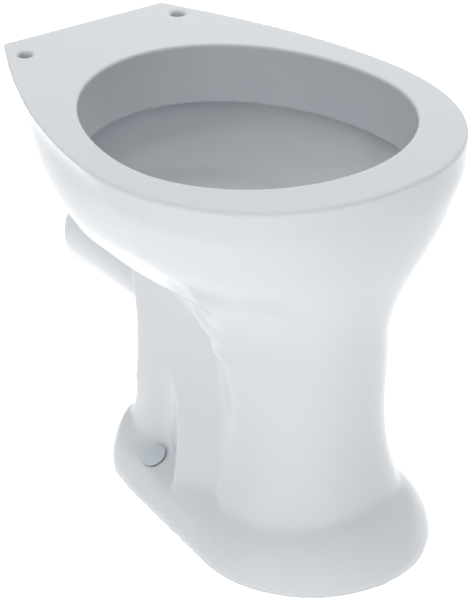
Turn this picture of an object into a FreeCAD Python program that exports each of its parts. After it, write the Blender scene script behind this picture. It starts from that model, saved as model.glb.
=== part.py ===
"""Floor-standing washout toilet pan: its luted ceramic castings and its floor fixing set.

Millimetres. +Z is up, the front of the pan faces -Y and the floor is at z = 0.
"""
import FreeCAD, Part
import math
import os

Vector = FreeCAD.Vector
UP = Vector(0, 0, 1)
BACK = Vector(0, 1, 0)

# Rim, seen from above: a straight rear edge, widening to RIM_WIDEST, then a rounded front
PAN_HEIGHT = 390.0
RIM_WIDTH = 361.0
RIM_FRONT = -228.0
RIM_WIDEST = -40.0
RIM_REAR = 241.0
DECK_WIDTH = 184.0
RIM_EDGE_RADIUS = 3.0

# Mouth of the bowl, and the box rim round it
MOUTH_WIDTH = 294.0
MOUTH_FRONT = -180.0
MOUTH_WIDEST = -43.0
MOUTH_REAR = 144.0
MOUTH_EDGE_RADIUS = 2.5
RIM_DEPTH = 60.0
DECK_THICKNESS = 12.0
BAND_WALL = 9.0
RIM_FLOOR = 8.0
FLUSH_HOLE_RADIUS = 3.5
FLUSH_HOLE_COUNT = 24

# Seat hinge holes in the deck
HINGE_SPACING = 175.0
HINGE_HOLE_RADIUS = 7.0
HINGE_SETBACK = 34.5

# Castings
WALL = 10.0
BOWL_SEAM = 205.0
SHELF_HEIGHT = 262.0
BASIN_REAR = 160.0
BASIN_WIDEST = -20.0
WELL_RADIUS = 56.0

# Inside of the bowl under the rim: share of the depth to the shelf, then how far the outline is drawn in
# at the sides, at the front and at the rear
BASIN = [
    (0.00, 10.0, 5.0, 0.0),
    (0.44, 27.0, 13.0, 4.0),
    (0.74, 44.0, 20.0, 12.0),
    (0.92, 62.0, 28.0, 28.0),
    (1.00, 82.0, 38.0, 50.0),
]

# Stem under the front of the bowl
STEM_CENTRE = -116.0
STEM_RADIUS = 72.3
STEM_WAIST = 140.0
STEM_FLARE = 14.7
STEM_FLARE_POWER = 2.15
STEM_RINGS = 6
STEM_REAR = -50.0
STEM_REAR_HALF = 42.0

# Housing behind the stem, with walls that flare towards the plinth
HOUSING_HALF = 60.0
HOUSING_REAR = 69.0
HOUSING_FRONT = -150.0
HOUSING_WIDEST = -40.0
HOUSING_FLARE = 25.0
HOUSING_FLARE_TOP = 160.0
HOUSING_FLARE_POWER = 1.4
HOUSING_FOOT = 34.0
HOUSING_TOP = 245.0
HOUSING_RINGS = 6
HOUSING_REAR_ARC = 271.0

# Plinth with its rolled top edge
PLINTH_HEIGHT = 53.0
PLINTH_FRONT = -240.0
PLINTH_FRONT_RADIUS = 113.0
PLINTH_REAR = 93.0
PLINTH_REAR_HALF = 95.0
PLINTH_CORNER = 38.0
PLINTH_DRAFT = 0.04
PLINTH_ROLL = 60.0
PLINTH_RINGS = 6
PLINTH_WALL = 12.0
PLINTH_CROWN = 15.0

# Trap: drop leg, U-bend, weir bend and outlet spigot
OUTLET_HEIGHT = 186.0
OUTLET_END = 217.0
TRAP_RADIUS = 46.0
TRAP_WALL = 9.5
TRAP_BEND = 48.0
TRAP_LOWEST = 101.0

# Flush inlet horn and spreader
INLET_BORE = 55.0
INLET_WALL = 8.0
INLET_DROP = 43.0
INLET_WAY_RADIUS = 16.0
INLET_END = 234.0
CHANNEL_WIDTH = 16.0
SPREADER_WIDTH = 32.0
SPREADER_HEIGHT = 32.0
SPREADER_GAP = 2.0

# Slanted floor fixings
FIXING_X = 78.0
FIXING_Y = 13.8
FIXING_Z = 39.4
FIXING_TILT = 29.3
FIXING_HOLE_RADIUS = 6.5
CUP_RADIUS = 10.0
CUP_DEPTH = 8.0
SLEEVE_WALL = 1.6
SLEEVE_FLOOR = 2.5
SLEEVE_LENGTH = 26.0
SCREW_HOLE_RADIUS = 4.25
CAP_RADIUS = 12.0
CAP_HEIGHT = 3.6
CAP_CROWN = 1.2
CAP_SPIGOT_LENGTH = 5.0
CAP_WALL = 1.5
POCKET_RADIUS = 54.4
POCKET_OUTSET = 39.4
BOSS_WALL = 6.0

# Gaps, and how far cutting shapes reach past a face and past the rear of the pan
RUNNING_GAP = 0.3
SEAT_GAP = 0.2
PAST = 1.0
CLEAR = 60.0

# Outline constants: how the sides draw in to the rear edge, and how full the front is
SIDE_POWER = 1.73
FRONT_POWER = 2.2
SIDE_STEPS = 6
FRONT_STEPS = 7
EDGE_STEPS = 3

# Belly stations from the stem's waist (0) to the rim (1), as shares of the change between the two:
# height at the front, height at the rear, half width, front, rear, rear half width, widest place
BELLY = [
    (0.000, 0.008, 0.000, 0.000, 0.000, 0.00, 0.000),
    (0.080, 0.152, 0.011, 0.018, 0.041, -0.04, 0.026),
    (0.148, 0.300, 0.043, 0.043, 0.155, -0.12, 0.132),
    (0.220, 0.396, 0.099, 0.093, 0.379, -0.16, 0.421),
    (0.300, 0.448, 0.191, 0.156, 0.593, -0.14, 1.000),
    (0.388, 0.488, 0.330, 0.244, 0.724, -0.06, 1.660),
    (0.488, 0.544, 0.506, 0.395, 0.800, 0.08, 1.920),
    (0.600, 0.628, 0.700, 0.622, 0.862, 0.24, 1.660),
    (0.720, 0.728, 0.871, 0.849, 0.917, 0.44, 1.290),
    (0.848, 0.848, 0.972, 0.987, 0.962, 0.70, 1.050),
    (1.000, 1.000, 1.000, 1.000, 1.000, 1.00, 1.000),
]


def between(low, high, share):
    return low + (high - low) * share


def ring(half, front, rear, rear_half, widest, z_front, z_rear, overrun=0.0):
    """A closed outline: one smooth curve round the sides and the front, and a straight rear edge.

    The overrun carries the same curve on past the rear edge.
    """
    side = []
    full = 1.0 + overrun / (rear - widest)
    for step in range(SIDE_STEPS):
        share = full * (1.0 - step / SIDE_STEPS)
        x = half - (half - rear_half) * share ** SIDE_POWER
        side.append((x, between(widest, rear, share)))
    for step in range(FRONT_STEPS):
        angle = math.pi / 2.0 * step / FRONT_STEPS
        x = half * math.cos(angle) ** (2.0 / FRONT_POWER)
        side.append((x, between(widest, front, math.sin(angle) ** (2.0 / FRONT_POWER))))
    left = [(-x, y) for x, y in reversed(side)]
    points = []
    for x, y in side + [(0.0, front)] + left:
        points.append(Vector(x, y, between(z_front, z_rear, (y - front) / (rear - front))))
    curve = Part.BSplineCurve()
    curve.interpolate(Points=points, Parameters=[float(i) for i in range(len(points))])
    return Part.Wire([curve.toShape(), Part.makeLine(points[-1], points[0])])


def loft(wires, ruled=False):
    return Part.makeLoft(wires, True, ruled)


def slab(bottom, top):
    """A block wider than the pan between two heights, for cutting castings at their seams."""
    reach = 2.0 * (RIM_REAR - RIM_FRONT)
    return Part.makeBox(2.0 * reach, 2.0 * reach, top - bottom, Vector(-reach, -reach, bottom))


def half_slab(side, bottom, top):
    """The left or right half of such a block, up to the mould's parting plane."""
    reach = 2.0 * (RIM_REAR - RIM_FRONT)
    return Part.makeBox(reach, 2.0 * reach, top - bottom, Vector(min(side, 0) * reach, -reach, bottom))


def oval(half, front, rear, widest, z):
    """A closed outline of two half ellipses that meet at the widest place."""
    points = []
    steps = 4 * FRONT_STEPS
    for step in range(steps):
        angle = 2.0 * math.pi * step / steps
        reach = rear - widest if math.sin(angle) > 0 else widest - front
        points.append(Vector(half * math.cos(angle), widest + reach * math.sin(angle), z))
    curve = Part.BSplineCurve()
    curve.interpolate(Points=points, PeriodicFlag=True)
    return Part.Wire([curve.toShape()])


def belly_ring(station, inset, overrun=0.0):
    z_front, z_rear, half, front, rear, rear_half, widest = station
    return ring(
        between(STEM_RADIUS, RIM_WIDTH / 2.0, half) - inset,
        between(STEM_CENTRE - STEM_RADIUS, RIM_FRONT, front) + inset,
        between(STEM_REAR, RIM_REAR, rear),
        between(STEM_REAR_HALF, DECK_WIDTH / 2.0, rear_half) - inset,
        between(STEM_CENTRE, RIM_WIDEST, widest),
        between(STEM_WAIST, PAN_HEIGHT, z_front),
        between(STEM_WAIST, PAN_HEIGHT, z_rear),
        overrun)


def stem_ring(z, inset):
    drop = (STEM_WAIST - z) / (STEM_WAIST - PLINTH_HEIGHT)
    radius = STEM_RADIUS + STEM_FLARE * drop ** STEM_FLARE_POWER - inset
    return ring(radius, STEM_CENTRE - radius, STEM_REAR, STEM_REAR_HALF - inset, STEM_CENTRE, z, z)


def goblet(inset=0.0):
    """Stem and belly in one loft, from inside the plinth to the top of the rim."""
    wires = []
    for step in range(STEM_RINGS):
        wires.append(stem_ring(between(PLINTH_HEIGHT / 2.0, STEM_WAIST, step / STEM_RINGS), inset))
    wires += [belly_ring(station, inset) for station in BELLY]
    return loft(wires)


def housing(inset=0.0, overrun=0.0):
    """The back of the pedestal, waisted at the rear and flared at the foot."""
    wires = []
    for step in range(HOUSING_RINGS + 1):
        z = between(HOUSING_FOOT, HOUSING_TOP, step / HOUSING_RINGS)
        drop = max(0.0, (HOUSING_FLARE_TOP - z) / (HOUSING_FLARE_TOP - PLINTH_HEIGHT))
        half = HOUSING_HALF + HOUSING_FLARE * drop ** HOUSING_FLARE_POWER - inset
        rear = HOUSING_REAR + (z - STEM_WAIST) ** 2 / (2.0 * HOUSING_REAR_ARC)
        front = HOUSING_FRONT + inset
        wires.append(ring(half, front, rear, HOUSING_HALF - inset, HOUSING_WIDEST, z, z, overrun))
    return loft(wires)


def housing_void():
    """Hollow of the housing, open at the back above a sill that joins the plinth's two sides."""
    sill = slab(0.0, PLINTH_HEIGHT + WALL)
    sill.translate(Vector(0, HOUSING_REAR - WALL - sill.BoundBox.YMin, 0))
    return housing(WALL, CLEAR).cut(sill)


def plinth_outline(inset, rear, z):
    """Large front arc and two rear corner arcs, joined by tangent lines."""
    front_centre = Vector(0, PLINTH_FRONT + PLINTH_FRONT_RADIUS, z)
    corner = PLINTH_CORNER - inset
    rear_centre = Vector(PLINTH_REAR_HALF - PLINTH_CORNER, rear - corner, z)
    axis = rear_centre - front_centre
    turn = math.acos((PLINTH_FRONT_RADIUS - PLINTH_CORNER) / axis.Length)
    heading = math.atan2(axis.y, axis.x) - turn
    normal = Vector(math.cos(heading), math.sin(heading), 0)
    mirror = Vector(-normal.x, normal.y, 0)
    front_radius = PLINTH_FRONT_RADIUS - inset
    left_centre = Vector(-rear_centre.x, rear_centre.y, z)
    diagonal = Vector(math.cos((heading + math.pi / 2) / 2), math.sin((heading + math.pi / 2) / 2), 0)
    left_diagonal = Vector(-diagonal.x, diagonal.y, 0)
    a = front_centre + mirror * front_radius
    b = front_centre + normal * front_radius
    c = rear_centre + normal * corner
    d = rear_centre + BACK * corner
    e = left_centre + BACK * corner
    f = left_centre + mirror * corner
    return Part.Wire([
        Part.Arc(a, front_centre - BACK * front_radius, b).toShape(),
        Part.makeLine(b, c),
        Part.Arc(c, rear_centre + diagonal * corner, d).toShape(),
        Part.makeLine(d, e),
        Part.Arc(e, left_centre + left_diagonal * corner, f).toShape(),
        Part.makeLine(f, a)])


def plinth():
    """Solid plinth: its front and sides follow an arc that leans in towards the top."""
    wires = []
    for step in range(PLINTH_RINGS + 1):
        z = PLINTH_HEIGHT * math.sin(math.pi / 2.0 * step / PLINTH_RINGS)
        inset = PLINTH_DRAFT * z + PLINTH_ROLL - math.sqrt(PLINTH_ROLL ** 2 - z ** 2)
        wires.append(plinth_outline(inset, PLINTH_REAR, z))
    return loft(wires)


def plinth_void():
    top = PLINTH_HEIGHT - PLINTH_CROWN
    rear = PLINTH_REAR - WALL
    return loft([plinth_outline(PLINTH_WALL, rear, -PAST), plinth_outline(2.0 * PLINTH_WALL, rear, top)])


def trap_path():
    """Down the drop leg, round the U-bend, over the weir and straight out at the back."""
    rise = STEM_CENTRE + 2.0 * TRAP_BEND
    weir = OUTLET_HEIGHT - TRAP_LOWEST
    half = math.sqrt(0.5)
    top = Vector(0, STEM_CENTRE, BOWL_SEAM)
    drop = Vector(0, STEM_CENTRE, TRAP_LOWEST)
    lowest = Vector(0, STEM_CENTRE + TRAP_BEND, TRAP_LOWEST - TRAP_BEND)
    up = Vector(0, rise, TRAP_LOWEST)
    over = Vector(0, rise + weir * (1.0 - half), TRAP_LOWEST + weir * half)
    level = Vector(0, rise + weir, OUTLET_HEIGHT)
    end = Vector(0, OUTLET_END, OUTLET_HEIGHT)
    return Part.Wire([
        Part.makeLine(top, drop),
        Part.Arc(drop, lowest, up).toShape(),
        Part.Arc(up, over, level).toShape(),
        Part.makeLine(level, end)])


def trap_tube(radius):
    circle = Part.Wire([Part.makeCircle(radius, Vector(0, STEM_CENTRE, BOWL_SEAM), UP)])
    return trap_path().makePipeShell([circle], True, False)


def fixing_axis(side):
    tilt = math.radians(FIXING_TILT)
    return Vector(side * math.sin(tilt), 0, math.cos(tilt))


def fixing_seat(side):
    return Vector(side * FIXING_X, FIXING_Y, FIXING_Z)


def fixing_cylinder(side, radius, start, length):
    """A cylinder on the fixing's axis, measured from the cap's seat, outwards positive."""
    axis = fixing_axis(side)
    return Part.makeCylinder(radius, length, fixing_seat(side) + axis * start, axis)


def pocket(side, outset=0.0):
    """Upright scoop in the pedestal's side for the cap; its floor is square to the fixing."""
    foot = Vector(side * (FIXING_X + POCKET_OUTSET), FIXING_Y, -POCKET_RADIUS)
    scoop = Part.makeCylinder(POCKET_RADIUS + outset, POCKET_RADIUS + STEM_WAIST, foot, UP)
    return scoop.common(fixing_cylinder(side, 2.0 * STEM_WAIST, -outset, 2.0 * STEM_WAIST))


def fixing_boss(side):
    """Ceramic left round the fixing hole under the pocket's floor."""
    return fixing_cylinder(side, CUP_RADIUS + BOSS_WALL, -CUP_DEPTH - WALL, CUP_DEPTH + WALL)


def fixing_hole(side):
    through = 2.0 * PLINTH_HEIGHT
    hole = fixing_cylinder(side, FIXING_HOLE_RADIUS, -through, through)
    return hole.fuse(fixing_cylinder(side, CUP_RADIUS, -CUP_DEPTH, CUP_DEPTH + CAP_HEIGHT))


def basin(outset=0.0):
    """Inside of the bowl below the rim, down to the shelf, as a void."""
    seam = PAN_HEIGHT - RIM_DEPTH
    wires = []
    for depth, side_inset, front_inset, rear_inset in BASIN:
        half = RIM_WIDTH / 2.0 - WALL - side_inset + outset
        front = RIM_FRONT + WALL + front_inset - outset
        rear = BASIN_REAR - rear_inset + outset
        wires.append(oval(half, front, rear, BASIN_WIDEST, between(seam, SHELF_HEIGHT - outset, depth)))
    return loft(wires)


def well(outset=0.0):
    """The drop at the front of the shelf, down into the trap."""
    bore = TRAP_RADIUS - TRAP_WALL + outset
    mouth = WELL_RADIUS + outset
    cone = Part.makeCone(bore, mouth, SHELF_HEIGHT - BOWL_SEAM, Vector(0, STEM_CENTRE, BOWL_SEAM), UP)
    return cone.fuse(Part.makeCylinder(mouth, WALL, Vector(0, STEM_CENTRE, SHELF_HEIGHT), UP))


def rim_outline(inset, z):
    return ring(RIM_WIDTH / 2.0 - inset, RIM_FRONT + inset, RIM_REAR - inset, DECK_WIDTH / 2.0 - inset,
                RIM_WIDEST, z, z)


def mouth_outline(outset, z):
    return oval(MOUTH_WIDTH / 2.0 + outset, MOUTH_FRONT - outset, MOUTH_REAR + outset, MOUTH_WIDEST, z)


def mouth_prism(outset, bottom, top):
    return Part.Face(mouth_outline(outset, bottom)).extrude(Vector(0, 0, top - bottom))


def rear_cavity():
    """Hollow behind the bowl, open at the back, where the seat nuts and the flush pipe are reached."""
    seam = PAN_HEIGHT - RIM_DEPTH
    shell = loft([belly_ring(station, WALL, CLEAR) for station in BELLY[6:]])
    behind = Part.makeBox(RIM_WIDTH, 2.0 * RIM_REAR, PAN_HEIGHT - DECK_THICKNESS - BOWL_SEAM,
                          Vector(-RIM_WIDTH / 2.0, 0.0, BOWL_SEAM))
    reach = BAND_WALL + CHANNEL_WIDTH + BAND_WALL
    return shell.common(behind).cut(basin(WALL)).cut(mouth_prism(reach, seam, PAN_HEIGHT))


def flush_channel():
    """Water way inside the box rim."""
    bottom = PAN_HEIGHT - RIM_DEPTH + RIM_FLOOR
    top = PAN_HEIGHT - DECK_THICKNESS
    outer = mouth_prism(BAND_WALL + CHANNEL_WIDTH, bottom, top)
    return outer.cut(mouth_prism(BAND_WALL, bottom - PAST, top + PAST))


def flush_holes():
    holes = []
    outset = BAND_WALL + CHANNEL_WIDTH / 2.0
    half = MOUTH_WIDTH / 2.0 + outset
    for number in range(FLUSH_HOLE_COUNT):
        angle = 2.0 * math.pi * (number + 0.5) / FLUSH_HOLE_COUNT
        reach = MOUTH_REAR - MOUTH_WIDEST if math.sin(angle) > 0 else MOUTH_WIDEST - MOUTH_FRONT
        foot = Vector(half * math.cos(angle), MOUTH_WIDEST + (reach + outset) * math.sin(angle),
                      PAN_HEIGHT - RIM_DEPTH - PAST)
        holes.append(Part.makeCylinder(FLUSH_HOLE_RADIUS, RIM_FLOOR + 2.0 * PAST, foot, UP))
    return Part.makeCompound(holes)


def hinge_holes():
    holes = []
    for side in (-1, 1):
        foot = Vector(side * HINGE_SPACING / 2.0, RIM_REAR - HINGE_SETBACK, PAN_HEIGHT - 2.0 * DECK_THICKNESS)
        holes.append(Part.makeCylinder(HINGE_HOLE_RADIUS, 3.0 * DECK_THICKNESS, foot, UP))
    return Part.makeCompound(holes)


def inlet_cylinder(radius, start, end):
    return Part.makeCylinder(radius, end - start, Vector(0, start, PAN_HEIGHT - INLET_DROP), BACK)


def inlet_way():
    """Round hole from the horn's socket into the water way, midway between its floor and the deck."""
    start = MOUTH_REAR + BAND_WALL + CHANNEL_WIDTH - PAST
    middle = PAN_HEIGHT - (RIM_DEPTH - RIM_FLOOR + DECK_THICKNESS) / 2.0
    length = BAND_WALL + INLET_WALL + 2.0 * PAST
    return Part.makeCylinder(INLET_WAY_RADIUS, length, Vector(0, start, middle), BACK)


def inlet_horn():
    """Short horn for the flush pipe: it hangs under the deck and ends against the rim's rear wall."""
    start = MOUTH_REAR + 2.0 * BAND_WALL + CHANNEL_WIDTH
    horn = inlet_cylinder(INLET_BORE / 2.0 + INLET_WALL, start, INLET_END)
    horn = horn.common(slab(BOWL_SEAM, PAN_HEIGHT - DECK_THICKNESS))
    socket = inlet_cylinder(INLET_BORE / 2.0, start + INLET_WALL, INLET_END + PAST)
    return horn.cut(inlet_way()).cut(socket)


def under_voids():
    """Hollows of the pedestal, open at the floor and at the back, round the trap and under the bowl."""
    hollows = [
        goblet(WALL).common(slab(-PAST, HOUSING_TOP)),
        housing_void(),
        plinth_void()]
    left = pocket(-1, WALL).fuse(fixing_boss(-1))
    right = pocket(1, WALL).fuse(fixing_boss(1))
    return [hollow.cut(left).cut(right) for hollow in hollows]


def spreader():
    """Wedge on the floor of the box rim that splits the flush water to both sides."""
    floor = PAN_HEIGHT - RIM_DEPTH + RIM_FLOOR
    front = MOUTH_REAR + BAND_WALL + SPREADER_GAP
    rear = MOUTH_REAR + BAND_WALL + CHANNEL_WIDTH - SPREADER_GAP
    half = SPREADER_WIDTH / 2.0
    corners = [Vector(-half, front, floor), Vector(half, front, floor), Vector(0, rear, floor)]
    return Part.Face(Part.makePolygon(corners + corners[:1])).extrude(Vector(0, 0, SPREADER_HEIGHT))


def sleeve(side):
    """Plastic cup and tube that keep the floor screw off the ceramic."""
    outer = CUP_RADIUS - SEAT_GAP
    cup = fixing_cylinder(side, outer, -CUP_DEPTH, CUP_DEPTH)
    cup = cup.cut(fixing_cylinder(side, outer - SLEEVE_WALL, SLEEVE_FLOOR - CUP_DEPTH, CUP_DEPTH))
    tube = fixing_cylinder(side, FIXING_HOLE_RADIUS - SEAT_GAP, -SLEEVE_LENGTH, SLEEVE_LENGTH - CUP_DEPTH)
    return cup.fuse(tube).cut(fixing_cylinder(side, SCREW_HOLE_RADIUS, -2.0 * SLEEVE_LENGTH, 4.0 * SLEEVE_LENGTH))


def cap(side):
    """Push-in cover: a slightly crowned disc on a spigot that grips inside the sleeve's cup."""
    spigot = CUP_RADIUS - SEAT_GAP - SLEEVE_WALL - RUNNING_GAP
    ceiling = RUNNING_GAP + CAP_WALL
    crown = (CAP_RADIUS ** 2 + CAP_CROWN ** 2) / (2.0 * CAP_CROWN)
    centre = fixing_seat(side) + fixing_axis(side) * (CAP_HEIGHT - crown)
    disc = fixing_cylinder(side, CAP_RADIUS, RUNNING_GAP, CAP_HEIGHT)
    disc = disc.common(Part.makeSphere(crown, centre, BACK))
    disc = disc.fuse(fixing_cylinder(side, spigot, RUNNING_GAP - CAP_SPIGOT_LENGTH, CAP_SPIGOT_LENGTH))
    hollow = fixing_cylinder(side, spigot - CAP_WALL, -2.0 * CAP_SPIGOT_LENGTH, 2.0 * CAP_SPIGOT_LENGTH + ceiling)
    return disc.cut(hollow)


def edge_steps(radius):
    """Inset and height of the points that round a top edge off."""
    steps = []
    for step in range(EDGE_STEPS + 1):
        angle = math.pi / 2.0 * step / EDGE_STEPS
        steps.append((radius * (1.0 - math.cos(angle)), PAN_HEIGHT - radius * (1.0 - math.sin(angle))))
    return steps


def rim_cover(seam):
    """The rim's outline from above, drawn in round its top edge."""
    wires = [rim_outline(0.0, seam - PAST)]
    wires += [rim_outline(inset, z) for inset, z in edge_steps(RIM_EDGE_RADIUS)]
    return loft(wires, True)


def mouth_edge():
    """Void that opens the mouth's top edge out."""
    wires = []
    for inset, z in edge_steps(MOUTH_EDGE_RADIUS):
        wires.append(mouth_outline(inset, z))
    return loft(wires, True)


def rim_blank(outside, seam):
    """The rim's outer form with its mouth and softened top edges."""
    blank = outside.common(rim_cover(seam)).common(slab(seam, PAN_HEIGHT))
    return blank.cut(mouth_prism(0.0, seam - PAST, PAN_HEIGHT + PAST)).cut(mouth_edge())


def build():
    seam = PAN_HEIGHT - RIM_DEPTH
    outside = goblet()
    cavity = rear_cavity()
    voids = under_voids()
    back = housing()

    rim = rim_blank(outside, seam)
    rim = rim.cut(cavity).cut(flush_channel()).cut(flush_holes()).cut(hinge_holes()).cut(inlet_way())

    bowl = outside.fuse(back).common(slab(BOWL_SEAM, seam)).cut(basin()).cut(well()).cut(cavity)
    lining = basin(WALL).fuse(well(WALL))
    for void in voids:
        bowl = bowl.cut(void.cut(lining))

    pedestal = outside.common(slab(0.0, BOWL_SEAM)).fuse([back.common(slab(0.0, BOWL_SEAM)), plinth()])
    for void in voids:
        pedestal = pedestal.cut(void)
    for side in (-1, 1):
        pedestal = pedestal.cut(pocket(side)).cut(fixing_hole(side))

    trap = trap_tube(TRAP_RADIUS).cut(trap_tube(TRAP_RADIUS - TRAP_WALL))
    pieces = {
        "flush_rim": rim,
        "bowl": bowl,
        "trapway": trap,
        "flush_inlet": inlet_horn(),
        "flush_spreader": spreader()}
    for name, side in (("left", -1), ("right", 1)):
        pieces[name + "_pedestal"] = pedestal.common(half_slab(side, 0.0, BOWL_SEAM))
        pieces[name + "_fixing_sleeve"] = sleeve(side)
        pieces[name + "_cover_cap"] = cap(side)
    return pieces


os.makedirs("parts", exist_ok=True)
for name, shape in build().items():
    shape.exportStep("parts/" + name + ".step")
    print(name, round(shape.Volume), len(shape.Solids), shape.isValid())
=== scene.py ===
import math

import bmesh
import bpy
from mathutils import Matrix, Vector
from mathutils.bvhtree import BVHTree


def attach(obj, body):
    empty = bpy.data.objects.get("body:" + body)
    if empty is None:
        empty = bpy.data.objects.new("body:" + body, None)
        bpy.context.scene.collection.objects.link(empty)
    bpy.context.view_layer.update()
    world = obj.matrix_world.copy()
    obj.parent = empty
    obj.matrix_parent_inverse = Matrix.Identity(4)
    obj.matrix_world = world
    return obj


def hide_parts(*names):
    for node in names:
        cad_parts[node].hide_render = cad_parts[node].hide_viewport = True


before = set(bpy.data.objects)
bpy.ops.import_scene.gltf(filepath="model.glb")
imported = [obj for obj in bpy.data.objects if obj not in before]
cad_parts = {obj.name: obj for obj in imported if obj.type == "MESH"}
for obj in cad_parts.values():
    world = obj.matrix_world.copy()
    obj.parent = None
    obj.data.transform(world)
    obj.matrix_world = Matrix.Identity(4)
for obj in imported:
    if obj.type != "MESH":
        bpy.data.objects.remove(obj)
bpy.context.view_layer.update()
scene = bpy.context.scene


# Fired body: rim, bowl and pedestal. They are slip-cast in plaster moulds, luted together with slip while
# damp and glazed as one, so one skin runs over their seams and rounds the corners between them.
CASTINGS = ("flush_rim", "bowl", "left_pedestal", "right_pedestal")
WELD = 1e-5
SKIN_GRAIN = 0.0022
STRAY_SIZE = 200

# The rim keeps its true shape above the seam, and the outer wall runs over the seam without a line
RIM_SEAM = 0.330
RIM_BLEND = 0.025
SEAM_FILL = 0.040
SEAM_CORE = 0.4 * SEAM_FILL
WALL_TOP = 0.384
WALL_FACING = 0.6

# The foot is ground flat, and the glaze is wiped off its underside
FOOT_HEIGHT = 0.006
FOOT_FACING = -0.9

# Smoothing by the glaze, along the foot and by the slip in the corners
SMOOTHING = 0.5
GLAZE_PASSES = 16
FOOT_PASSES = 60
FILL_PASSES = 200
FILL_MARGIN = 0.018
CRISP_MARGIN = 0.008

# Thinning of the finished mesh, with the bends and areas by which folded faces are found
BODY_TRIANGLES = 196000
HIDDEN_THINNING = 1.0
SHOWN_THINNING = 0.12
FOLD = math.radians(50.0)
TURNED_BACK = math.radians(120.0)
FOLD_PASSES = 8
SLIVER = 1.2e-6
FLAP = 1.0e-5

# Places on the right half, mirrored on the left, where slip fills the corners most: the stem into the
# housing, the belly over the housing and the rear corners of the plinth
FILLED = (((0.045, -0.130, 0.030), (0.105, -0.050, 0.150)),
          ((0.040, -0.160, 0.215), (0.170, 0.040, 0.300)),
          ((0.050, 0.050, 0.000), (0.120, 0.110, 0.075)))

# The front edge of each pocket stays crisp, on the right half and mirrored
CRISP = ((0.056, -0.040, 0.034), (0.105, -0.008, 0.150))

# The seat holes are sponged round at the top
SEAT_HOLE = (0.0875, 0.2065)
HOLE_RADIUS = 0.007
HOLE_SPONGED = (HOLE_RADIUS + 0.001, HOLE_RADIUS + 0.005)

# Where the belly runs into the stem, its underside is tucked in and the stem's edge below swells, in an
# arch. Each pair gives where the effect starts and where it is full, across, along or up the pan.
ARCH_CORNER = 0.212
ARCH_FACING = (0.0, 0.2)
TUCK = 0.012
TUCK_ACROSS = (0.062, 0.080)
TUCK_FROM_FRONT = (-0.115, -0.065)
TUCK_FROM_BELOW = (ARCH_CORNER, 0.236)
TUCK_FROM_ABOVE = (0.325, 0.290)
UPPER_TUCK = 0.25
FULL_TUCK_BELOW = (0.262, 0.236)
SWELL = 0.004
SWELL_ACROSS = (0.050, 0.062)
SWELL_FROM_FRONT = (-0.130, -0.100)
SWELL_FROM_REAR = (-0.050, -0.080)
SWELL_FROM_BELOW = (0.135, 0.195)
SWELL_FROM_ABOVE = (ARCH_CORNER, 0.198)

# The bare inner wall gives way behind the tuck, so that the outer wall doesn't cut through it
GIVE = 0.014
GIVE_ACROSS = (0.045, 0.060)
GIVE_FROM_FRONT = (-0.125, -0.085)
GIVE_FROM_REAR = (0.060, 0.030)
GIVE_FROM_BELOW = (0.195, 0.215)
GIVE_FROM_ABOVE = (0.330, 0.300)

# The well's thin lower lip, where the trap is luted on, is glazed on both sides
WELL_AXIS = (0.0, -0.116)
LIP_RADIUS = 0.052
LIP_HEIGHT = 0.195

cast = bmesh.new()
for name in CASTINGS:
    cast.from_mesh(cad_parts[name].data)
bmesh.ops.remove_doubles(cast, verts=cast.verts, dist=WELD)
cast_mesh = bpy.data.meshes.new("castings")
cast.to_mesh(cast_mesh)
cast.free()
body = bpy.data.objects.new("fired_body", cast_mesh)
scene.collection.objects.link(body)


def settle(piece):
    """Gives a piece the mesh that its modifiers make of it."""
    shaped = piece.evaluated_get(bpy.context.evaluated_depsgraph_get())
    piece.data = bpy.data.meshes.new_from_object(shaped)
    piece.modifiers.clear()


def ramp(value, start, end):
    """Share that rises smoothly from 0 at the start to 1 at the end."""
    share = min(max((value - start) / (end - start), 0.0), 1.0)
    return share * share * (3.0 - 2.0 * share)


skin = body.modifiers.new("skin", "REMESH")
skin.mode = "VOXEL"
skin.voxel_size = SKIN_GRAIN
settle(body)

# The seams leave a few closed specks inside the walls, and the foot is ground flat
whole = bmesh.new()
whole.from_mesh(body.data)
unseen = set(whole.verts)
strays = []
while unseen:
    island = [unseen.pop()]
    for vert in island:
        for edge in vert.link_edges:
            other = edge.other_vert(vert)
            if other in unseen:
                unseen.remove(other)
                island.append(other)
    if len(island) < STRAY_SIZE:
        strays += island
bmesh.ops.delete(whole, geom=strays, context="VERTS")
for vert in whole.verts:
    if vert.co.z < SKIN_GRAIN:
        vert.co.z = 0.0
whole.to_mesh(body.data)

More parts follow.
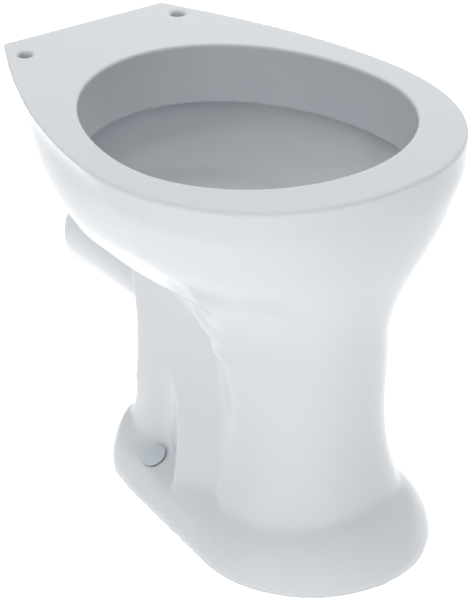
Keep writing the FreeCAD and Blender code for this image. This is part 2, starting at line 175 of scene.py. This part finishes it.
# Hollow faces can't be seen from the front, the sides or above: they stay bare, and their mesh is thinned
# most. The looks go out in radians above the floor and round from the front.
LOOK_RISES = (-0.3, 0.1, 0.5, 0.9)
LOOK_TURNS = (-1.9, -1.2, -0.6, 0.0, 0.6, 1.2, 1.9)
LOOKS = [Vector((math.sin(turn) * math.cos(rise), -math.cos(turn) * math.cos(rise), math.sin(rise)))
         for rise in LOOK_RISES for turn in LOOK_TURNS]
LOOKS.append(Vector((0.0, 0.0, 1.0)))
LIFT = 0.002
shell = BVHTree.FromBMesh(whole)
soften = body.vertex_groups.new(name="soften")
keep = body.vertex_groups.new(name="keep")
thin = body.vertex_groups.new(name="thin")
fill = body.vertex_groups.new(name="fill")
foot = body.vertex_groups.new(name="foot")
tuck = body.vertex_groups.new(name="tuck")
swell = body.vertex_groups.new(name="swell")
bareness = []
shifts = []
for vert in body.data.vertices:
    mirrored = (abs(vert.co.x), vert.co.y, vert.co.z)
    x, y, z = mirrored
    spot = vert.co + vert.normal * LIFT
    hidden = all(shell.ray_cast(spot, look)[0] is not None for look in LOOKS)
    outwards = vert.normal.x * math.copysign(1.0, vert.co.x)
    outer_wall = vert.normal.x * vert.co.x + vert.normal.y * vert.co.y > WALL_FACING * vert.co.xy.length

    rim_start = WALL_TOP if outer_wall else RIM_SEAM
    rim_share = ramp(z, rim_start - RIM_BLEND, rim_start)
    in_crisp = min(min(at - start, end - at) for at, start, end in zip(mirrored, *CRISP))
    true_share = max(rim_share, min(max(in_crisp / CRISP_MARGIN, 0.0), 1.0))
    hole_gap = math.dist(mirrored[:2], SEAT_HOLE)
    true_share *= ramp(hole_gap, *HOLE_SPONGED)
    keep.add([vert.index], true_share, "REPLACE")
    if z > FOOT_HEIGHT:
        soften.add([vert.index], 1.0 - true_share, "REPLACE")
    else:
        foot.add([vert.index], 1.0, "REPLACE")

    for low, high in FILLED:
        inside = min(min(at - start, end - at) for at, start, end in zip(mirrored, low, high))
        if inside > -FILL_MARGIN:
            fill.add([vert.index], min(1.0 + inside / FILL_MARGIN, 1.0), "REPLACE")
    if outer_wall:
        seam_gap = abs(z - RIM_SEAM)
        fill.add([vert.index], ramp(seam_gap, SEAM_FILL, SEAM_CORE), "ADD")

    facing = ramp(abs(outwards), *ARCH_FACING)
    higher = UPPER_TUCK + (1.0 - UPPER_TUCK) * ramp(z, *FULL_TUCK_BELOW)
    beside = facing * ramp(x, *TUCK_ACROSS) * ramp(y, *TUCK_FROM_FRONT)
    tucked = beside * higher * ramp(z, *TUCK_FROM_BELOW) * ramp(z, *TUCK_FROM_ABOVE)
    swollen = facing * ramp(x, *SWELL_ACROSS) * ramp(y, *SWELL_FROM_FRONT) * ramp(y, *SWELL_FROM_REAR)
    swollen *= ramp(z, *SWELL_FROM_BELOW) * ramp(z, *SWELL_FROM_ABOVE)
    if outwards > 0.0 and not hidden:
        tuck.add([vert.index], tucked, "REPLACE")
        swell.add([vert.index], swollen, "REPLACE")
    behind = ramp(x, *GIVE_ACROSS) * ramp(y, *GIVE_FROM_FRONT) * ramp(y, *GIVE_FROM_REAR)
    behind *= ramp(z, *GIVE_FROM_BELOW) * ramp(z, *GIVE_FROM_ABOVE)
    shifts.append(math.copysign(GIVE * behind, vert.co.x) if hidden else 0.0)

    at_lip = z > LIP_HEIGHT and math.dist(vert.co[:2], WELL_AXIS) < LIP_RADIUS
    hollow = hidden and not at_lip
    if hollow:
        thin.add([vert.index], HIDDEN_THINNING, "REPLACE")
    elif z < RIM_SEAM:
        thin.add([vert.index], SHOWN_THINNING, "REPLACE")
    wiped_foot = z < FOOT_HEIGHT and vert.normal.z < FOOT_FACING
    bareness.append(float(wiped_foot or hollow and z < RIM_SEAM))
bare = body.data.attributes.new("bare", "FLOAT", "POINT")
bare.data.foreach_set("value", bareness)
for vert, shift in zip(body.data.vertices, shifts):
    vert.co.x -= shift
whole.free()

# Skin smoothed and shaped, with the rim and the crisp edges drawn back to the castings
castings = bpy.data.objects.new("castings", cast_mesh)
scene.collection.objects.link(castings)
for group, passes, upright in (("soften", GLAZE_PASSES, True), ("foot", FOOT_PASSES, False),
                               ("fill", FILL_PASSES, False)):
    smoothing = body.modifiers.new(group, "SMOOTH")
    smoothing.factor = SMOOTHING
    smoothing.iterations = passes
    smoothing.use_z = upright
    smoothing.vertex_group = group
for group, amount in (("tuck", -TUCK), ("swell", SWELL)):
    push = body.modifiers.new(group, "DISPLACE")
    push.strength = amount
    push.mid_level = 0.0
    push.vertex_group = group
wrap = body.modifiers.new("wrap", "SHRINKWRAP")
wrap.target = castings
wrap.vertex_group = "keep"
settle(body)
triangles = sum(len(face.vertices) - 2 for face in body.data.polygons)
thinning = body.modifiers.new("thinning", "DECIMATE")
thinning.ratio = BODY_TRIANGLES / triangles
thinning.vertex_group = "thin"
settle(body)
bpy.data.objects.remove(castings)

# Thinning folds a few slivers back on their neighbours, and these are smoothed open again above the foot
whole = bmesh.new()
whole.from_mesh(body.data)
upper_edges = [edge for edge in whole.edges
               if edge.is_manifold and min(vert.co.z for vert in edge.verts) > FOOT_HEIGHT]
for _ in range(FOLD_PASSES):
    folds = []
    for edge in upper_edges:
        angle = edge.calc_face_angle()
        if angle > FOLD:
            smaller = min(face.calc_area() for face in edge.link_faces)
            if smaller < SLIVER or angle > TURNED_BACK and smaller < FLAP:
                folds.append(edge)
    folded = list({vert for edge in folds for vert in edge.verts})
    bmesh.ops.smooth_vert(whole, verts=folded, factor=SMOOTHING, use_axis_x=True, use_axis_y=True,
                          use_axis_z=True)
whole.to_mesh(body.data)
whole.free()
body.data.shade_smooth()

# Glaze look: the clear coat pools a little thicker here and there, which drifts its tint, and it ripples
DRIFT_SCALE = 7.0
DRIFT_DETAIL = 2.0
POOLED_TINT = (0.965, 0.975, 0.980, 1.0)
RIPPLE_SCALE = 26.0
RIPPLE_DETAIL = 1.0
RIPPLE_STRENGTH = 0.25
RIPPLE_HEIGHT = 0.0006
glaze_look = bpy.data.node_groups.new("glaze_look", "ShaderNodeTree")
glaze_look.interface.new_socket("Body", in_out="INPUT", socket_type="NodeSocketColor")
glaze_look.interface.new_socket("Colour", in_out="OUTPUT", socket_type="NodeSocketColor")
glaze_look.interface.new_socket("Normal", in_out="OUTPUT", socket_type="NodeSocketVector")
entry = glaze_look.nodes.new("NodeGroupInput")
place = glaze_look.nodes.new("ShaderNodeTexCoord")
drift = glaze_look.nodes.new("ShaderNodeTexNoise")
drift.inputs["Scale"].default_value = DRIFT_SCALE
drift.inputs["Detail"].default_value = DRIFT_DETAIL
pooled = glaze_look.nodes.new("ShaderNodeMix")
pooled.data_type = "RGBA"
pooled.blend_type = "MULTIPLY"
pooled.inputs["B"].default_value = POOLED_TINT
ripple = glaze_look.nodes.new("ShaderNodeTexNoise")
ripple.inputs["Scale"].default_value = RIPPLE_SCALE
ripple.inputs["Detail"].default_value = RIPPLE_DETAIL
relief = glaze_look.nodes.new("ShaderNodeBump")
relief.inputs["Strength"].default_value = RIPPLE_STRENGTH
relief.inputs["Distance"].default_value = RIPPLE_HEIGHT
leave = glaze_look.nodes.new("NodeGroupOutput")
glaze_look.links.new(place.outputs["Object"], drift.inputs["Vector"])
glaze_look.links.new(place.outputs["Object"], ripple.inputs["Vector"])
glaze_look.links.new(drift.outputs["Fac"], pooled.inputs["Factor"])
glaze_look.links.new(entry.outputs["Body"], pooled.inputs["A"])
glaze_look.links.new(ripple.outputs["Fac"], relief.inputs["Height"])
glaze_look.links.new(pooled.outputs["Result"], leave.inputs["Colour"])
glaze_look.links.new(relief.outputs["Normal"], leave.inputs["Normal"])

# Glazed white ceramic, and bare biscuit where the glaze was wiped off or never reached
CERAMIC = (0.655, 0.684, 0.711, 1.0)
BISCUIT = (0.66, 0.63, 0.57, 1.0)
GLAZE_ROUGHNESS = 0.15
BISCUIT_ROUGHNESS = 0.75
GLAZE_IOR = 1.5
glaze = bpy.data.materials.new("glaze")
glaze.use_nodes = True
nodes = glaze.node_tree.nodes
links = glaze.node_tree.links
china = nodes["Principled BSDF"]
china.inputs["IOR"].default_value = GLAZE_IOR
coat = nodes.new("ShaderNodeGroup")
coat.node_tree = glaze_look
coat.inputs["Body"].default_value = CERAMIC
wiped = nodes.new("ShaderNodeAttribute")
wiped.attribute_name = "bare"
colour = nodes.new("ShaderNodeMix")
colour.data_type = "RGBA"
colour.inputs["B"].default_value = BISCUIT
polish = nodes.new("ShaderNodeMix")
polish.inputs["A"].default_value = GLAZE_ROUGHNESS
polish.inputs["B"].default_value = BISCUIT_ROUGHNESS
links.new(wiped.outputs["Fac"], colour.inputs["Factor"])
links.new(wiped.outputs["Fac"], polish.inputs["Factor"])
links.new(coat.outputs["Colour"], colour.inputs["A"])
links.new(colour.outputs["Result"], china.inputs["Base Color"])
links.new(polish.outputs["Result"], china.inputs["Roughness"])
links.new(coat.outputs["Normal"], china.inputs["Normal"])
body.data.materials.append(glaze)
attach(body, "pan")
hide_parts(*CASTINGS)


# Trapway: drop leg, U-bend that holds the water seal, weir bend and outlet spigot. It is cast as a bent
# tube, luted under the well and glazed inside and out.
TRAP_RADIUS = 0.046
TRAP_WALL = 0.0095
TRAP_TOP = Vector((0.0, -0.116, 0.205))
U_CENTRE = Vector((0.0, -0.068, 0.101))
WEIR_CENTRE = Vector((0.0, 0.065, 0.101))
OUTLET_END = 0.217
TRAP_SEGMENTS = 72
U_STEPS = 40
WEIR_STEPS = 24
LIP_ROUNDING = 0.004
LIP_SEGMENTS = 4
NEAR = 1e-6

trap = bmesh.new()
ends = []
for radius in (TRAP_RADIUS, TRAP_RADIUS - TRAP_WALL):
    circle = bmesh.ops.create_circle(trap, segments=TRAP_SEGMENTS, radius=radius,
                                     matrix=Matrix.Translation(TRAP_TOP))
    start = list({edge for vert in circle["verts"] for edge in vert.link_edges})
    ends += start
    leg = bmesh.ops.extrude_edge_only(trap, edges=start)["geom"]
    leg_end = [item for item in leg if isinstance(item, bmesh.types.BMVert)]
    bmesh.ops.translate(trap, verts=leg_end, vec=(0.0, 0.0, U_CENTRE.z - TRAP_TOP.z))
    way = [item for item in leg if isinstance(item, bmesh.types.BMEdge)
           and all(abs(vert.co.z - U_CENTRE.z) < NEAR for vert in item.verts)]
    for centre, angle, steps in ((U_CENTRE, math.pi, U_STEPS), (WEIR_CENTRE, -math.pi / 2.0, WEIR_STEPS)):
        bend = bmesh.ops.spin(trap, geom=way, cent=centre, axis=(1.0, 0.0, 0.0), angle=angle, steps=steps)
        way = [item for item in bend["geom_last"] if isinstance(item, bmesh.types.BMEdge)]
    spigot = bmesh.ops.extrude_edge_only(trap, edges=way)["geom"]
    tip = [item for item in spigot if isinstance(item, bmesh.types.BMVert)]
    for vert in tip:
        vert.co.y = OUTLET_END
    ends += [item for item in spigot if isinstance(item, bmesh.types.BMEdge)
             and all(vert in tip for vert in item.verts)]
tops = [edge for edge in ends if edge.verts[0].co.z > TRAP_TOP.z - NEAR]
lips = [edge for edge in ends if edge not in tops]
bmesh.ops.bridge_loops(trap, edges=tops)
bmesh.ops.bridge_loops(trap, edges=lips)
bmesh.ops.recalc_face_normals(trap, faces=trap.faces)
bmesh.ops.bevel(trap, geom=lips, offset=LIP_ROUNDING, segments=LIP_SEGMENTS, profile=0.5, affect="EDGES",
                material=-1)
trap_mesh = bpy.data.meshes.new("trap")
trap.to_mesh(trap_mesh)
trap.free()
trap_mesh.shade_smooth()
trapway = bpy.data.objects.new("glazed_trap", trap_mesh)
scene.collection.objects.link(trapway)
trap_mesh.materials.append(glaze)
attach(trapway, "pan")
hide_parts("trapway")


# Flush inlet horn and spreader wedge: small castings luted in under the deck, glazed with the rest. Their
# edges are sponged round before firing.
SPONGED = 0.0012
EDGE_SEGMENTS = 3
FLAT = math.radians(0.5)
SHARP = math.radians(40.0)
for name in ("flush_inlet", "flush_spreader"):
    blank = bmesh.new()
    blank.from_mesh(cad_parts[name].data)
    bmesh.ops.remove_doubles(blank, verts=blank.verts, dist=WELD)
    bmesh.ops.recalc_face_normals(blank, faces=blank.faces)
    bmesh.ops.dissolve_limit(blank, angle_limit=FLAT, verts=blank.verts, edges=blank.edges)
    corners = [edge for edge in blank.edges if edge.is_manifold and edge.calc_face_angle() > SHARP]
    bmesh.ops.bevel(blank, geom=corners, offset=SPONGED, segments=EDGE_SEGMENTS, profile=0.5, affect="EDGES",
                    material=-1)
    blank_mesh = bpy.data.meshes.new(name + "_sponged")
    blank.to_mesh(blank_mesh)
    blank.free()
    blank_mesh.shade_smooth()
    blank_mesh.set_sharp_from_angle(angle=SHARP)
    piece = bpy.data.objects.new(name + "_sponged", blank_mesh)
    scene.collection.objects.link(piece)
    blank_mesh.materials.append(glaze)
    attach(piece, "pan")
    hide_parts(name)


# Fixing sleeves and cover caps: injection-moulded plastic. A sleeve lines each slanted screw hole, and a cap
# is pushed into its cup so that the screw head doesn't show.
SEAT = Vector((0.078, 0.0138, 0.0394))
TILT = math.radians(29.3)
TURN_STEPS = 64
MOULD_ROUNDING = 0.0005
SLEEVE_GREY = (0.62, 0.62, 0.60, 1.0)
SLEEVE_ROUGHNESS = 0.5
CAP_GREY = (0.57, 0.61, 0.66, 1.0)
CAP_ROUGHNESS = 0.28

# Half sections as radius and height in mm, with the height measured from the sleeve's top face
SLEEVE_PROFILE = ((4.25, -26.0), (6.3, -26.0), (6.3, -8.0), (9.8, -8.0),
                  (9.8, 0.0), (8.2, 0.0), (8.2, -5.5), (4.25, -5.5))
CAP_RADIUS = 12.0
CAP_HEIGHT = 3.6
CAP_CROWN = 1.2
CAP_RINGS = 5
CAP_PROFILE = [(CAP_RADIUS * step / CAP_RINGS, CAP_HEIGHT - CAP_CROWN * (step / CAP_RINGS) ** 2)
               for step in range(CAP_RINGS + 1)]
CAP_PROFILE += [(CAP_RADIUS, 0.3), (7.9, 0.3), (7.9, -4.7), (6.4, -4.7), (6.4, 1.8), (0.0, 1.8)]
MM = 0.001


def turned(name, profile, closed, side):
    """Mesh turned from a profile of radius and height in mm, on the axis of the left or right fixing."""
    turning = bmesh.new()
    points = [turning.verts.new((radius * MM, 0.0, height * MM)) for radius, height in profile]
    edges = [turning.edges.new(pair) for pair in zip(points, points[1:])]
    if closed:
        edges.append(turning.edges.new((points[-1], points[0])))
    bmesh.ops.spin(turning, geom=points + edges, cent=(0.0, 0.0, 0.0), axis=(0.0, 0.0, 1.0),
                   angle=2.0 * math.pi, steps=TURN_STEPS, use_merge=True)
    bmesh.ops.remove_doubles(turning, verts=turning.verts, dist=NEAR)
    bmesh.ops.recalc_face_normals(turning, faces=turning.faces)
    corners = [edge for edge in turning.edges if edge.is_manifold and edge.calc_face_angle() > SHARP]
    bmesh.ops.bevel(turning, geom=corners, offset=MOULD_ROUNDING, segments=EDGE_SEGMENTS, profile=0.5,
                    affect="EDGES", material=-1)
    seat = Vector((side * SEAT.x, SEAT.y, SEAT.z))
    turning.transform(Matrix.Translation(seat) @ Matrix.Rotation(side * TILT, 4, "Y"))
    mesh = bpy.data.meshes.new(name)
    turning.to_mesh(mesh)
    turning.free()
    mesh.shade_smooth()
    return mesh


plastics = {}
for slot, shade, roughness in (("sleeve_plastic", SLEEVE_GREY, SLEEVE_ROUGHNESS),
                               ("cap_plastic", CAP_GREY, CAP_ROUGHNESS)):
    plastic = bpy.data.materials.new(slot)
    plastic.use_nodes = True
    shader = plastic.node_tree.nodes["Principled BSDF"]
    shader.inputs["Base Color"].default_value = shade
    shader.inputs["Roughness"].default_value = roughness
    plastics[slot] = plastic
for hand, side in (("left", -1), ("right", 1)):
    for kind, profile, closed, rider, slot in (
            ("fixing_sleeve", SLEEVE_PROFILE, True, "pan", "sleeve_plastic"),
            ("cover_cap", CAP_PROFILE, False, hand + "_cap", "cap_plastic")):
        node = hand + "_" + kind
        moulding = bpy.data.objects.new(node + "_moulded", turned(node, profile, closed, side))
        scene.collection.objects.link(moulding)
        moulding.data.materials.append(plastics[slot])
        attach(moulding, rider)
        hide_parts(node)


# Studio: a plain pale floor that runs to white and keeps the pan's shadow, soft boxes round the pan that
# don't mirror in the glaze, and a white surround that does.
CAMERA_PLACE = (-1.2594, -1.7411, 1.3425)
CAMERA_TURN = (math.radians(61.78), 0.0, math.radians(-36.05))
LENS = 156.0
camera_data = bpy.data.cameras.new("camera")
camera_data.lens = LENS
camera = bpy.data.objects.new("camera", camera_data)
camera.location = CAMERA_PLACE
camera.rotation_euler = CAMERA_TURN
scene.collection.objects.link(camera)
scene.camera = camera

# The floor shows white to the camera and in the glaze, and glows less on the pan
FLOOR_SIZE = 12.0
FLOOR_WHITE = 0.66
FLOOR_GLOW = 0.44
FLOOR_SHADE = (0.80, 0.80, 0.80, 1.0)
floor_mesh = bpy.data.meshes.new("floor")
sheet = bmesh.new()
bmesh.ops.create_grid(sheet, x_segments=1, y_segments=1, size=FLOOR_SIZE / 2.0)
sheet.to_mesh(floor_mesh)
sheet.free()
floor = bpy.data.objects.new("floor", floor_mesh)
scene.collection.objects.link(floor)
paper = bpy.data.materials.new("paper")
paper.use_nodes = True
nodes = paper.node_tree.nodes
links = paper.node_tree.links
surface = nodes["Principled BSDF"]
surface.inputs["Base Color"].default_value = FLOOR_SHADE
surface.inputs["Roughness"].default_value = 1.0
surface.inputs["Specular IOR Level"].default_value = 0.0
surface.inputs["Emission Color"].default_value = (1.0, 1.0, 1.0, 1.0)
rays = nodes.new("ShaderNodeLightPath")
glow = nodes.new("ShaderNodeMix")
glow.inputs["A"].default_value = FLOOR_GLOW
glow.inputs["B"].default_value = FLOOR_WHITE
shown = nodes.new("ShaderNodeMath")
shown.operation = "MAXIMUM"
links.new(rays.outputs["Is Camera Ray"], shown.inputs[0])
links.new(rays.outputs["Is Glossy Ray"], shown.inputs[1])
links.new(shown.outputs["Value"], glow.inputs["Factor"])
links.new(glow.outputs["Result"], surface.inputs["Emission Strength"])
floor_mesh.materials.append(paper)

# The surround lights the pan from overhead most, and shows white to the camera and in the glaze
SKY_LIGHT = 1.10
SKY_POWER = 2.0
world = bpy.data.worlds.new("studio")
world.use_nodes = True
scene.world = world
nodes = world.node_tree.nodes
links = world.node_tree.links
white = nodes["Background"]
white.inputs["Color"].default_value = (1.0, 1.0, 1.0, 1.0)
rays = nodes.new("ShaderNodeLightPath")
place = nodes.new("ShaderNodeTexCoord")
split = nodes.new("ShaderNodeSeparateXYZ")
links.new(place.outputs["Generated"], split.inputs["Vector"])


def arithmetic(operation, first, second):
    """Output of a new world node that joins two sockets, or a socket and a number."""
    node = nodes.new("ShaderNodeMath")
    node.operation = operation
    for socket, value in zip(node.inputs, (first, second)):
        if isinstance(value, float):
            socket.default_value = value
        else:
            links.new(value, socket)
    return node.outputs["Value"]


above = arithmetic("MAXIMUM", split.outputs["Z"], 0.0)
sky = arithmetic("MULTIPLY", arithmetic("POWER", above, SKY_POWER), SKY_LIGHT)
seen = arithmetic("MAXIMUM", rays.outputs["Is Camera Ray"], rays.outputs["Is Glossy Ray"])
seen = arithmetic("MAXIMUM", seen, rays.outputs["Is Transmission Ray"])
links.new(arithmetic("MAXIMUM", sky, seen), white.inputs["Strength"])

# Each soft box: azimuth and elevation in degrees as seen from the pan, width and height in m, power in W
PAN_MIDDLE = Vector((0.0, 0.0, 0.2))
BOX_DISTANCE = 2.0
LAMPS = {
    "front": (-5.0, 1.0, 1.4, 0.36, 5.8),
    "left": (-75.0, 12.0, 1.2, 1.2, 6.5),
    "left_low": (-75.0, 1.0, 1.4, 0.36, 3.6),
    "right": (110.0, 38.0, 1.2, 1.2, 8.0),
    "rear": (150.0, 62.0, 1.2, 1.2, 10.6),
    "over": (-40.0, 42.0, 1.2, 1.2, 2.8),
    "edge": (-170.0, 1.0, 1.4, 0.36, 4.0),
}
for name, (azimuth, elevation, width, height, power) in LAMPS.items():
    turn = math.radians(azimuth)
    rise = math.radians(elevation)
    away = Vector((math.sin(turn) * math.cos(rise), -math.cos(turn) * math.cos(rise), math.sin(rise)))
    lamp_data = bpy.data.lights.new(name, "AREA")
    lamp_data.shape = "RECTANGLE"
    lamp_data.size = width
    lamp_data.size_y = height
    lamp_data.energy = power
    lamp = bpy.data.objects.new(name, lamp_data)
    lamp.location = PAN_MIDDLE + away * BOX_DISTANCE
    lamp.rotation_euler = away.to_track_quat("Z", "Y").to_euler()
    lamp.visible_glossy = False
    scene.collection.objects.link(lamp)

scene.view_settings.view_transform = "Standard"
